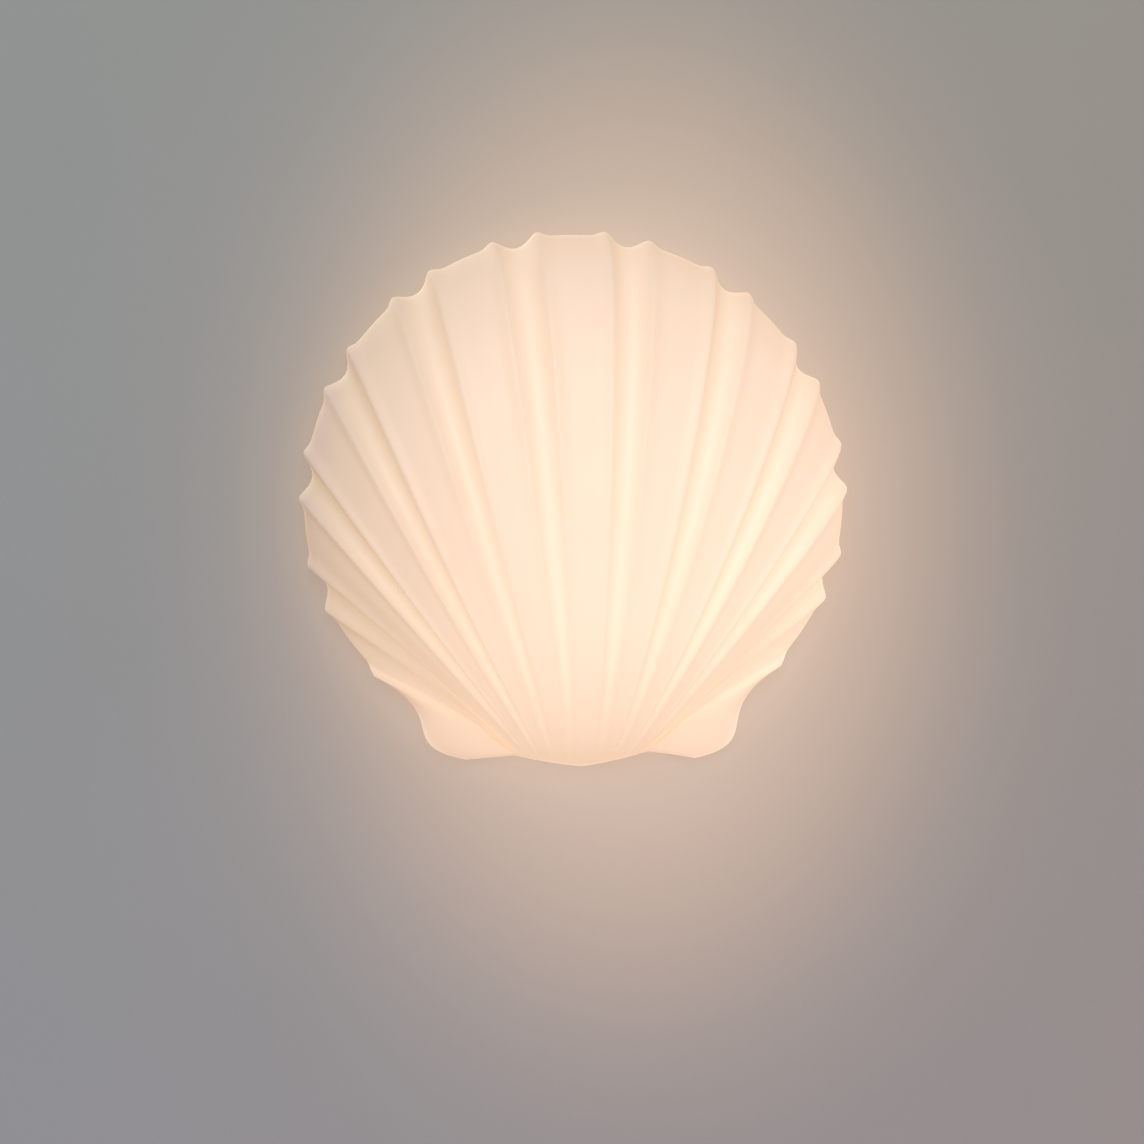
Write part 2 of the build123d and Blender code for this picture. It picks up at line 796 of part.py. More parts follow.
def block_screw():
    """Screw that holds the terminal block on the plate."""
    seat = (block_screw_x(), plate_face - block_depth, block_place)
    return screw(block_screw_radius, block_screw_head, terminal_head_height, seat, 0)


def lead_end_z():
    """Where a lead ends inside its brass tube."""
    return block_place + block_height / 2 - terminal_screw_pitch


def holder_lead(pole, sideways, post_sideways, parting):
    """Lead from a post of the core through the nipple and down behind the bracket to the terminal block.

    parting keeps the two leads apart where they leave the nipple and where they reach the block.
    """
    post = bracket_face + cap_length - core_tail
    y = block_middle_y()
    top = block_place + block_height / 2
    bend_x = bracket_face - bracket_sheet - nipple_tail - lead_tail_run - parting
    sweep_x, sweep_y = lead_block_sweep
    way_out = []
    if abs(post_sideways - sideways) > thread_play:
        way_out.append(on_holder_axis(post - lead_post_run, post_sideways))
        way_out.append(on_holder_axis(bracket_face + cap_end_wall - lead_nipple_run, sideways))
    return lead([
        on_holder_axis(post, post_sideways),
        *way_out,
        on_holder_axis(bend_x, sideways),
        (bend_x, axis_y + sideways + lead_side_depth, parting - lead_side_drop),
        (pole - sweep_x, y - sweep_y, top + lead_block_rise + parting * lead_parting_rise),
        (pole, y, top + lead_block_run),
        (pole, y, lead_end_z()),
    ])


def live_lead():
    """Brown lead to the centre contact."""
    return holder_lead(pole_places()[0], contact_post_offset, contact_post_offset, 0.0)


def neutral_lead():
    """Blue lead to the screw shell."""
    return holder_lead(pole_places()[1], -contact_post_offset, shell_post_offset, lead_parting)


def earth_height():
    """Depth of the middle of the earth tag's barrel."""
    return plate_face - tag_barrel_radius


def earth_lead():
    """Green and yellow lead from the terminal block to the tag on the plate."""
    x, z = earth_place
    pole = pole_places()[2]
    y = block_middle_y()
    top = block_place + block_height / 2
    barrel_end = z - tag_radius - tag_barrel_length
    return lead([
        (pole, y, lead_end_z()),
        (pole, y, top + earth_lead_run),
        (x, earth_height(), barrel_end - earth_lead_run),
        (x, earth_height(), barrel_end + tag_grip),
    ])


def earth_tag():
    """Ring terminal under the earth screw, with the barrel that grips the earth lead."""
    x, z = earth_place
    ring = rod(tag_radius, (x, plate_face, z), (x, plate_face - tag_sheet, z))
    barrel_start = z - tag_radius + tag_barrel_lap
    barrel_end = z - tag_radius - tag_barrel_length
    y = earth_height()
    barrel = rod(tag_barrel_radius, (x, y, barrel_start), (x, y, barrel_end))
    barrel -= rod(lead_radius + thread_play, (x, y, barrel_end), (x, y, barrel_end + tag_grip + fit_play))
    tag = ring + barrel
    return tag - rod(small_screw_radius + fit_play, (x, plate_face, z), (x, plate_face - tag_sheet, z))


def earth_screw():
    """Screw that clamps the earth tag on the plate."""
    x, z = earth_place
    seat = (x, plate_face - tag_sheet, z)
    return screw(small_screw_radius, earth_screw_head, small_screw_head_height, seat, 0)


def cable_grommet():
    """Rubber bush in the plate's cable entry."""
    front = plate_face - grommet_flange
    flange = rod(grommet_flange_radius, (0, plate_face, entry_place), (0, front, entry_place))
    flange = fillet(flange.edges().group_by(Axis.Y)[0], grommet_flange / 2)
    bush = flange + plate_hole(entry_hole_radius - fit_play, 0, entry_place)
    return bush - rod(grommet_bore, (0, front, entry_place), (0, 0, entry_place))


PARTS = {
    "glass_shell": glass_shell,
    "shell_feet": shell_feet,
    "wall_plate": wall_plate,
    "hook_sleeves": hook_sleeves,
    "lampholder_bracket": lampholder_bracket,
    "bracket_screws": bracket_screws,
    "threaded_nipple": threaded_nipple,
    "nipple_locknut": nipple_locknut,
    "lampholder_cap": lampholder_cap,
    "lampholder_body": lampholder_body,
    "lampholder_core": lampholder_core,
    "lampholder_screw_shell": lampholder_screw_shell,
    "lampholder_centre_contact": lampholder_centre_contact,
    "bulb_contact": bulb_contact,
    "bulb_insulator": bulb_insulator,
    "bulb_cap": bulb_cap,
    "bulb_glass": bulb_glass,
    "bulb_stem": bulb_stem,
    "bulb_lead_wires": bulb_lead_wires,
    "bulb_filament": bulb_filament,
    "terminal_block": terminal_block,
    "terminal_inserts": terminal_inserts,
    "terminal_screws": terminal_screws,
    "block_screw": block_screw,
    "live_lead": live_lead,
    "neutral_lead": neutral_lead,
    "earth_lead": earth_lead,
    "earth_tag": earth_tag,
    "earth_screw": earth_screw,
    "cable_grommet": cable_grommet,
}


os.makedirs("parts", exist_ok=True)
for name, make in PARTS.items():
    export_step(make(), f"parts/{name}.step")
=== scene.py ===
"""Looks of the shell wall sconce: the lit opal glass shell, the lit bulb, and the finishes behind them.

Metres.  The wall is the plane Y = 0, the lamp stands off it towards -Y, and Z is up.  The origin is the
middle of the wall plate's back face, which is also the centre of the circle that the shell's rim lies on.
"""

import json
import math

import bpy
import numpy as np
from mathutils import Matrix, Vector


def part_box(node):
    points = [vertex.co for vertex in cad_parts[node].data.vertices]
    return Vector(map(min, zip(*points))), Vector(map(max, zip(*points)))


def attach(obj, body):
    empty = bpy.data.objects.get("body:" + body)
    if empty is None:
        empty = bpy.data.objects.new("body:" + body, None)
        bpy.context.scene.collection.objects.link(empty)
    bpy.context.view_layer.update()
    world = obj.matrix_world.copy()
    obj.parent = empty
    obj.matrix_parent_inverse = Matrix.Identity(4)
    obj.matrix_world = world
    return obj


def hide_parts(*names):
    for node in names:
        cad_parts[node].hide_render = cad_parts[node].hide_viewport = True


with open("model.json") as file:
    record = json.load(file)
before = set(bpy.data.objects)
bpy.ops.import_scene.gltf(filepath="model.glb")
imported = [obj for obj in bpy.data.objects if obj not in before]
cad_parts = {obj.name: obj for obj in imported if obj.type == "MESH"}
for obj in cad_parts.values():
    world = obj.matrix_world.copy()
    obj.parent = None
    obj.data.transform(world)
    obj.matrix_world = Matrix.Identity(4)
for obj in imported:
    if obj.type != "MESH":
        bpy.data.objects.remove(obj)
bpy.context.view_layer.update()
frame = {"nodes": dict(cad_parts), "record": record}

# --- The shell's driving sizes ---------------------------------------------------------------------------
# They are the solid's own, apart from the depth of the grooves (0.0056 there) and the height of the beads
# (0.0020 there), because the softening below takes part of both off again.
wall_gap = 0.0025
rim_radius = 0.1405
beak_drop = 0.131
glass_wall = 0.004
skirt_depth = 0.006
crown_depth = 0.074
ear_crown = 0.005
crown_place = 0.12
crown_fall = 0.9
fan_lean = math.radians(1.3)
rib_pitch = math.radians(12.25)
rib_share = 0.612
rib_count = 11
groove_depth = 0.0074
bead_height = 0.0036
bead_width = 0.055
relief_growth = 0.75
base_half_width = 0.034
base_spread = 0.7
base_rise = 0.0064
base_rise_growth = 1.3
line_bow = math.radians(11.0)
line_bow_place = 0.394
line_bow_end = 0.985
ear_edge_start = (0.058, 0.0036)
ear_corner = (0.0953, 0.0112)
ear_neck = (0.0643, 0.0257)
ear_corner_inset = (1.0, 1.1)
ear_neck_inset = (1.0, 0.2)
ear_span = 0.30
bead_tip_length = 0.003
bead_tip_slope = math.radians(35.0)
last_line_inset = 10.5
last_rib_draw_in = 0.0159
outer_rib_power = 9
edge_rounding = 0.0012
half_rib = rib_share / 2
fan_half_turns = (rib_count - 1) / 2 + half_rib
lug_width = 0.016
lug_places = (-0.032, 0.032)
lug_back = -0.0025
lug_front = -0.0075
lug_seat = 0.11006
lug_rounding = 0.0012

# --- What the press softens in the glass -----------------------------------------------------------------
# Two spreads in rib pitches, what the relief's power gains towards the ears and how late it gains it, and a
# share of the fan's half width.
crest_softness = 0.032
crest_softness_below = 0.03
outer_rib_fade = 2.6
outer_rib_fade_power = 6
ear_blend = 0.26

# --- The mesh of the shell and its lugs ------------------------------------------------------------------
rib_columns = 16
groove_columns = 12
ear_columns = 18
shell_rows = 96
rounding_steps = 4
softening_reach = 2.0
softening_samples = 9
slope_step = 1e-4
least_length = 1e-12
lug_sections = 9
lug_edge_reach = 0.5
lug_edge_samples = 401
lug_share = 0.9
shell_map = "across_and_up"

# --- The light that the bulb puts through the glass ------------------------------------------------------
# The centre (x, z) and the reaches in metres, and the rest by colour channel.
glow_centre = (0.0046, -0.0558)
glow_reach_left = 0.050
glow_reach_right = 0.5
glow_reach_up = 0.0865
glow_reach_down = 0.0627
glow_power = 1.505
opal_base = (0.60, 0.585, 0.56)
glow_peak = (0.688, 0.393, 0.219)
glow_fall = (0.096, 0.066, 0.053)
crest_shade = (0.034, 0.018, 0.020)
groove_light = (0.035, 0.047, 0.037)
rim_light = (0.06, 0.07, 0.06)
ear_shade = (0.008, 0.025, 0.018)
opal_cloud_cells = 22.0
opal_cloud_light = 0.02
opal_ripple_cells = 60.0
opal_ripple_depth = 0.0003

# --- Where the finer marks of that light begin and end ---------------------------------------------------
# Places across the shell are in rib pitches, and places up it in shares of the way.
ear_end = (1 + ear_span) * fan_half_turns
ear_begins = (fan_half_turns - 0.3, fan_half_turns + 0.8)
outer_ribs_begin = (fan_half_turns - 1.2, fan_half_turns + 0.1)
outer_ribs_show = (0.45, 0.95)
beak_clears = (0.0, 0.25)
fan_ends = (fan_half_turns, fan_half_turns + 0.12)
crest_line_place = half_rib + 0.015
crest_line_width = 0.045
groove_rounds = (half_rib + 0.02, 0.5)
top_edge = (0.982, 1.0)
ear_edge = (0.975 * ear_end, ear_end)
base_edge = (0.0, 0.012)

# --- The bulb --------------------------------------------------------------------------------------------
# Stops of a glow are pairs of a place and a colour.
bulb_lowest, bulb_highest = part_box("bulb_glass")
filament_place = (bulb_lowest[0] + 2 * bulb_highest[0]) / 3
filament_hot_half = 0.007
bulb_glow = ((0.0, (0.25, 0.13, 0.05)), (0.45, (0.42, 0.28, 0.15)), (1.0, (0.60, 0.48, 0.32)))
bulb_cloud_cells = 240.0
bulb_cloud_shift = 0.06
bulb_smooth = 0.34
bulb_roughening = 0.12
filament_glow = ((0.0, (0.80, 0.25, 0.05)), (0.6, (1.0, 0.62, 0.24)), (1.0, (1.0, 0.86, 0.56)))

# --- The earth lead's two colours ------------------------------------------------------------------------
# Each from its darker to its lighter tone.  The stripe winds by so many turns to a metre of x, y and z.
insulation_cells = 300.0
earth_green = ((0.03, 0.30, 0.05), (0.05, 0.38, 0.07))
earth_yellow = ((0.80, 0.62, 0.04), (0.88, 0.72, 0.07))
stripe_winding = (150.0, 300.0, 210.0)
stripe_begins = (0.60, 0.66)
stripe_ends = (0.94, 1.0)

# --- Light painted on the wall, by colour channel: the room's and the lamp's -----------------------------
# The halo's centre (x, z), edge and reaches are in metres.
halo_centre = (0.0287, -0.0079)
halo_narrowing = 1.446
halo_edge = 0.1418
halo_near = 0.0511
halo_far = 0.1158
near_light = (0.0712, 0.0702, 0.0672)
far_light = (0.2592, 0.1379, 0.0631)
# Painted room light on the wall: its level, and its change per metre to the right and upwards.
wall_painted_light = (0.1514, 0.1394, 0.1372)
wall_painted_light_right = (0.0536, -0.0051, -0.0400)
wall_painted_light_up = (-0.0185, 0.0098, -0.0313)
edge_light = (0.050, 0.032, 0.014)
edge_light_reach = 0.0112

# --- The stage, its lamps and the photograph's view ------------------------------------------------------
stage_reach = 3.0
wall_behind = 0.0004
wall_top = 1.5
floor_height = -1.3
wall_paint = ((0.172, 0.175, 0.172), (0.188, 0.185, 0.185))
wall_cloud_cells = 9.0
wall_grain_cells = 900.0
wall_grain_depth = 0.00008
floor_paint = ((0.60, 0.59, 0.57), (0.64, 0.63, 0.61))
floor_cloud_cells = 40.0
world_light = 0.62
front_lamp_place = (-0.2, -1.9, 0.7)
front_lamp_size = 1.4
front_lamp_power = 11.0
back_lamp_place = (-0.8, 1.6, 1.0)
back_lamp_size = 1.2
back_lamp_power = 8.0
camera_turn = math.radians(-5.0)
camera_distance = 1.2
camera_aim = (-0.001, 0.0, -0.033)
camera_lens = 74.2

# --- What all the finishes share -------------------------------------------------------------------------
noise_roughness = 0.55


# --- Shader values ---------------------------------------------------------------------------------------
class Value:
    """A number that varies over a surface.  Arithmetic on it adds Math nodes to its finish."""

    def __init__(self, finish, socket):
        self.finish = finish
        self.socket = socket

    def math(self, operation, *others):
        """This value and any others put through one Math node."""
        return self.finish.add("ShaderNodeMath", {"operation": operation}, self, *others)

    def __add__(self, other):
        return self.math("ADD", other)

    def __sub__(self, other):
        return self.math("SUBTRACT", other)

    def __mul__(self, other):
        return self.math("MULTIPLY", other)

    def __truediv__(self, other):
        return self.math("DIVIDE", other)

    def __pow__(self, other):
        return self.math("POWER", other)

    def __neg__(self):
        return self.math("MULTIPLY", -1.0)

    def __abs__(self):
        return self.math("ABSOLUTE")

    def __radd__(self, other):
        return self.math("ADD", other)

    def __rmul__(self, other):
        return self.math("MULTIPLY", other)

    def __rsub__(self, other):
        return self.finish.add("ShaderNodeMath", {"operation": "SUBTRACT"}, other, self)

    def above(self, low, high):
        """0 below low, 1 above high, and smooth between them."""
        settings = {"interpolation_type": "SMOOTHSTEP"}
        return self.finish.add("ShaderNodeMapRange", settings, self, low, high, 0.0, 1.0)

    def bump_at(self, place, width):
        """Bell curve of height 1 round a place: exp(-((value - place) / width)^2)."""
        return (-(((self - place) / width) ** 2.0)).math("EXPONENT")


class Finish:
    """One material.  Its nodes end in a Principled BSDF whose sockets are set or linked by set()."""

    def __init__(self, name, **constants):
        self.material = bpy.data.materials.new(name)
        self.material.use_nodes = True
        self.tree = self.material.node_tree
        self.shader = self.tree.nodes["Principled BSDF"]
        self.output = self.tree.nodes["Material Output"]
        self.set(**constants)

    def set(self, **constants):
        """Sets or links sockets of the Principled BSDF, with _ for the spaces in their names."""
        for name, value in constants.items():
            self.plug(self.shader.inputs[name.replace("_", " ")], value)

    def plug(self, socket, value):
        """Links a Value to a socket, or sets the socket to a constant."""
        if isinstance(value, Value):
            self.tree.links.new(value.socket, socket)
        elif isinstance(value, tuple) and len(value) == 3 and socket.type == "RGBA":
            socket.default_value = (*value, 1.0)
        else:
            socket.default_value = value

    def add(self, kind, settings, *inputs, output=0, **named):
        """Adds a node, makes its settings, fills its sockets in order or by name, and returns one output."""
        node = self.tree.nodes.new(kind)
        stops = settings.pop("stops", None)
        for name, value in settings.items():
            setattr(node, name, value)
        if stops:
            ramp = node.color_ramp
            ramp.elements[0].position, ramp.elements[1].position = stops[0][0], stops[-1][0]
            for place, _ in stops[1:-1]:
                ramp.elements.new(place)
            for element, (_, colour) in zip(ramp.elements, stops):
                element.color = (*colour, 1.0)
        for socket, value in zip(node.inputs, inputs):
            self.plug(socket, value)
        for name, value in named.items():
            self.plug(node.inputs[name.replace("_", " ")], value)
        return Value(self, node.outputs[output])

    def place(self):
        """Object coordinates, in metres."""
        return self.add("ShaderNodeTexCoord", {}, output="Object")

    def split(self, vector):
        """The three numbers of a vector."""
        node = self.tree.nodes.new("ShaderNodeSeparateXYZ")
        self.plug(node.inputs[0], vector)
        return [Value(self, socket) for socket in node.outputs]

    def noise(self, cells, detail=3.0, stretch=(1.0, 1.0, 1.0)):
        """Fractal noise from 0 to 1, with so many cells to a metre."""
        where = self.add("ShaderNodeMapping", {}, self.place(), Scale=stretch)
        sizes = dict(Scale=cells, Detail=detail, Roughness=noise_roughness)
        return self.add("ShaderNodeTexNoise", {}, Vector=where, **sizes)

    def mix(self, share, low, high):
        """Colour between two colours.  A colour mix has its share, colours and result in these sockets."""
        node = self.tree.nodes.new("ShaderNodeMix")
        node.data_type = "RGBA"
        self.plug(node.inputs[0], share)
        self.plug(node.inputs[6], low)
        self.plug(node.inputs[7], high)
        return Value(self, node.outputs[2])

    def colour(self, channels):
        """Colour from its red, green and blue."""
        return self.add("ShaderNodeCombineColor", {}, *channels)

    def ramp(self, share, stops):
        """Colour from a ramp with stops (place, colour)."""
        return self.add("ShaderNodeValToRGB", {"stops": stops}, share)

    def relief(self, height, depth):
        """Bumps the surface by a height from 0 to 1, with that depth in metres."""
        self.set(Normal=self.add("ShaderNodeBump", {}, Height=height, Distance=depth, Strength=1.0))
        return self

    def dress(self, thing):
        """Gives the finish to an object."""
        thing.data.materials.clear()
        thing.data.materials.append(self.material)


# --- Surfaces --------------------------------------------------------------------------------------------
def new_piece(name, corners, faces, uv=None):
    """Mesh object at the origin from arrays of corners and of faces, smooth shaded."""
    mesh = bpy.data.meshes.new(name)
    mesh.from_pydata(corners.reshape(-1, 3).tolist(), [], np.asarray(faces).tolist())
    mesh.polygons.foreach_set("use_smooth", np.ones(len(mesh.polygons), dtype=bool))
    if uv is not None:
        layer = mesh.uv_layers.new(name=shell_map)
        corner_of = np.empty(len(mesh.loops), dtype=np.int64)
        mesh.loops.foreach_get("vertex_index", corner_of)
        layer.data.foreach_set("uv", uv.reshape(-1, 2)[corner_of].astype(np.float32).ravel())
    mesh.update()
    piece = bpy.data.objects.new(name, mesh)
    bpy.context.scene.collection.objects.link(piece)
    return piece


def grid_faces(index, flip=False):
    """Quads between the neighbours of a two-way array of corner numbers."""
    sides = (index[:-1, :-1], index[1:, :-1], index[1:, 1:], index[:-1, 1:])
    quads = np.stack(sides, axis=-1).reshape(-1, 4)
    return quads[:, ::-1] if flip else quads


def cubic(points, share):
    """Cubic Bezier curve: its four control points weighted by the Bernstein polynomials of share."""
    rest = 1 - share
    weights = (rest**3, 3 * rest**2 * share, 3 * rest * share**2, share**3)
    return [sum(weight * point[k] for weight, point in zip(weights, points)) for k in (0, 1)]


def fan_line(turns, inset):
    """Control points, seen from the front, of the lines that run up the shell.

    Each line starts on the beak's short base, bows outwards, and ends on the rim circle at turns times the
    rib pitch.  The outermost ribs end short of that circle.
    """
    share = turns / fan_half_turns
    outermost = np.abs(share) ** outer_rib_power
    angle = turns * rib_pitch - np.copysign(last_line_inset * inset * outermost, turns)
    to_circle = np.sqrt((rim_radius - inset) ** 2 - (beak_drop * np.sin(angle)) ** 2)
    reach = beak_drop * np.cos(angle) + to_circle - last_rib_draw_in * outermost
    side = np.abs(share) ** base_spread
    start = (
        np.copysign((base_half_width - inset) * side, turns),
        base_rise * side**base_rise_growth + inset,
    )
    bowed = angle + line_bow * np.sin(math.pi * share * line_bow_end)
    middle = (line_bow_place * reach * np.sin(bowed), line_bow_place * reach * np.cos(bowed))
    end = (reach * np.sin(angle), reach * np.cos(angle))
    first = [start[k] + 2 / 3 * (middle[k] - start[k]) for k in (0, 1)]
    second = [end[k] + 2 / 3 * (middle[k] - end[k]) for k in (0, 1)]
    return [start, first, second, end]


def ear_line(inset):
    """Control points of the right ear's outer edge, from its lower side round its corner to the last rib."""
    last = fan_line(np.array(fan_half_turns), inset)[3]
    end = (
        last[0] - bead_tip_length * math.cos(bead_tip_slope),
        last[1] - bead_tip_length * math.sin(bead_tip_slope),
    )
    start = (ear_edge_start[0] - inset, ear_edge_start[1] + inset)
    corner = (ear_corner[0] - ear_corner_inset[0] * inset, ear_corner[1] + ear_corner_inset[1] * inset)
    neck = (ear_neck[0] - ear_neck_inset[0] * inset, ear_neck[1] + ear_neck_inset[1] * inset)
    return [start, corner, neck, end]


def way_up(up):
    """Share of a line, seen from the front, at an angle up over the crown."""
    return (1 - np.cos(up)) / 2 + crown_place * np.sin(up) ** 2


def smooth_shell(across, up, inset):
    """Shell before its ribs: the plan follows the lines, the depth is the crown times sin(up).

    across is -1 to 1 over the fan and runs on over the ears, whose outer edge replaces the last line step by
    step.  The crown eases down to the ears' own by a smooth step, so that they join without a crease.
    """
    fan = np.clip(across, -1.0, 1.0)
    ear = np.clip((np.abs(across) - 1.0) / ear_span, 0.0, 1.0)
    side = np.copysign(1.0, across)
    line = fan_line(fan * fan_half_turns, inset)
    edge = [(side * x, z) for x, z in ear_line(inset)]
    line = [[(1 - ear) * p[k] + ear * q[k] for k in (0, 1)] for p, q in zip(line, edge)]
    swell = (crown_depth - skirt_depth - ear_crown) * np.cos(math.pi / 2 * np.abs(fan)) ** crown_fall
    near_ear = np.clip((1 - np.abs(fan)) / ear_blend, 0.0, 1.0)
    swell *= near_ear * near_ear * (3 - 2 * near_ear)
    crown = ear_crown * (1 - ear**4) + swell
    share = way_up(up)
    x, z = cubic(line, share)
    lean = fan_lean * (1 - ear * (1 - share))
    turned_x = x * np.cos(lean) - z * np.sin(lean) + beak_drop * math.sin(fan_lean)
    turned_z = z * np.cos(lean) + x * np.sin(lean) - beak_drop
    depth = crown * np.sin(up) + skirt_depth - inset
    return np.stack([turned_x, -wall_gap - depth, turned_z], axis=-1)


def sharp_profile(turns):
    """Height against the crests: flat ribs whose edges rise in a bell-shaped bead, and parabolic grooves."""
    place = np.abs(turns - np.round(turns))
    rib = -bead_height * (1 - np.exp(-(((half_rib - place) / bead_width) ** 2)))
    groove = -groove_depth * (1 - ((0.5 - place) / (0.5 - half_rib)) ** 2)
    height = np.where(place <= half_rib, rib, groove)
    return np.where(np.abs(turns) > fan_half_turns, 0.0, height)


def pressed_profile(turns, spread):
    """Sharp profile averaged round each place with the bell-shaped weight exp(-offset^2 / 2) of a spread."""
    offsets = np.linspace(-softening_reach, softening_reach, softening_samples)
    weights = np.exp(-(offsets**2) / 2)
    heights = [weight * sharp_profile(turns + offset * spread) for offset, weight in zip(offsets, weights)]
    return sum(heights) / weights.sum()


def ribbed_shell(across, up, inset):
    """Smooth shell moved along its normal by the pressed profile.

    The profile grows with a power of the way up, and that power is greater towards the ears, where the ribs
    fade out well above the beak.  Its crests are rounder at the beak than at the rim.
    """
    step = slope_step
    along = smooth_shell(across + step, up, inset) - smooth_shell(across - step, up, inset)
    upward = smooth_shell(across, up + step, inset) - smooth_shell(across, up - step, inset)
    normal = np.cross(along, upward)
    normal /= np.linalg.norm(normal, axis=-1, keepdims=True) + least_length
    share = way_up(up)
    growth = relief_growth + outer_rib_fade * np.minimum(np.abs(across), 1.0) ** outer_rib_fade_power
    spread = crest_softness + crest_softness_below * (1 - share)
    height = pressed_profile(across * fan_half_turns, spread) * share**growth
    return smooth_shell(across, up, inset) + normal * height[..., None]


def shell_columns():
    """Places across the shell, closer together at every crest: cosine steps over each rib and groove."""
    limits = []
    for rib in range(-(rib_count // 2), rib_count // 2 + 1):
        limits += [rib - half_rib, rib + half_rib]
    places = []
    for index, (low, high) in enumerate(zip(limits, limits[1:])):
        count = groove_columns if index % 2 else rib_columns
        share = (1 - np.cos(math.pi * np.arange(count) / count)) / 2
        places.append((low + (high - low) * share) / fan_half_turns)
    ear = 1 + ear_span * np.sin(math.pi / 2 * np.arange(ear_columns + 1) / ear_columns)
    return np.concatenate([-ear[::-1][:-1], [-1.0], np.concatenate(places)[1:], ear])


def loop_round(grid):
    """The four sides of a grid as one closed loop: up its first side, along its top, down, and back."""
    return np.concatenate([grid[:-1, 0], grid[-1, :-1], grid[:0:-1, -1], grid[0, :0:-1]])


def skirt_rings(outer, inner):
    """Rings of corners from the outer skin's edge round to the inner skin's edge.

    The section is a quarter circle, the flat ring in the plane of the rim, and a quarter circle again, and it
    is carried round the closed outline.
    """
    outside, inside = loop_round(outer), loop_round(inner)
    inwards = inside - outside
    inwards[:, 1] = 0.0
    width = np.linalg.norm(inwards, axis=-1, keepdims=True)
    inwards /= width
    level = outside.copy()
    level[:, 1] = -wall_gap
    back = np.array([0.0, 1.0, 0.0])
    turn = np.linspace(0, math.pi / 2, rounding_steps + 1)
    rings = []
    for angle in turn:
        rings.append(level + edge_rounding * ((1 - math.cos(angle)) * inwards + (math.sin(angle) - 1) * back))
    for angle in turn[::-1]:
        inset = width - edge_rounding * (1 - math.cos(angle))
        rings.append(level + inset * inwards + edge_rounding * (math.sin(angle) - 1) * back)
    return np.array(rings)


def glass_shell():
    """Outer and inner skin on the same grid, joined round the edge by a skirt with two rounded corners.

    The skirt's first and last rings of faces share the skins' own corners, so the piece is closed.
    """
    across = shell_columns()[None, :]
    up = (math.pi * np.arange(shell_rows + 1) / shell_rows)[:, None]
    across, up = np.broadcast_arrays(across, up)
    outer = ribbed_shell(across, up, 0.0)
    inner = ribbed_shell(across, up, glass_wall)
    rings = skirt_rings(outer, inner)
    count = outer.shape[0] * outer.shape[1]
    grid = np.arange(count).reshape(outer.shape[:2])
    loop = loop_round(grid)
    ring_index = 2 * count + np.arange(rings.shape[0] * rings.shape[1]).reshape(rings.shape[:2])
    strip = np.concatenate([loop[None], ring_index, (loop + count)[None]])
    strip = np.concatenate([strip, strip[:, :1]], axis=1)
    faces = np.concatenate([grid_faces(grid), grid_faces(grid + count, flip=True), grid_faces(strip)])
    corners = np.concatenate([outer.reshape(-1, 3), inner.reshape(-1, 3), rings.reshape(-1, 3)])
    uv = np.stack([across * fan_half_turns, way_up(up)], axis=-1)
    ring_uv = np.tile(loop_round(uv), (len(rings), 1))
    uv = uv.reshape(-1, 2)
    return new_piece("shell", corners, faces, np.concatenate([uv, uv, ring_uv]))


def hang_lugs():
    """The two pressed lugs inside the shell's top edge that sit on the plate's hooks.

    Each is a four-sided section, bevelled below to fit its hook and carried across the lug's width.  Its top
    follows the middle of the shell's wall.
    """
    across = np.linspace(-lug_edge_reach, lug_edge_reach, lug_edge_samples)
    edge = ribbed_shell(across, math.pi, glass_wall / 2)
    front_seat = lug_seat + lug_back - lug_front
    corners, faces = [], []
    for middle in lug_places:
        index = 4 * len(corners) + np.arange(4 * lug_sections).reshape(lug_sections, 4)
        faces.append(grid_faces(np.concatenate([index, index[:, :1]], axis=1), flip=True))
        faces.append(np.stack([index[0], index[-1, ::-1]]))
        for x in np.linspace(middle - lug_width / 2, middle + lug_width / 2, lug_sections):
            top = np.interp(x, edge[:, 0], edge[:, 2])
            section = ((lug_back, lug_seat), (lug_front, front_seat), (lug_front, top), (lug_back, top))
            corners.append([(x, y, z) for y, z in section])
    corners = np.array(corners)
    uv = np.tile([0.0, lug_share], (corners.size // 3, 1))
    piece = new_piece("hang_lugs", corners, np.concatenate(faces), uv)
    bevel = piece.modifiers.new("rounded_edges", "BEVEL")
    bevel.width = lug_rounding
    bevel.segments = rounding_steps
    return piece


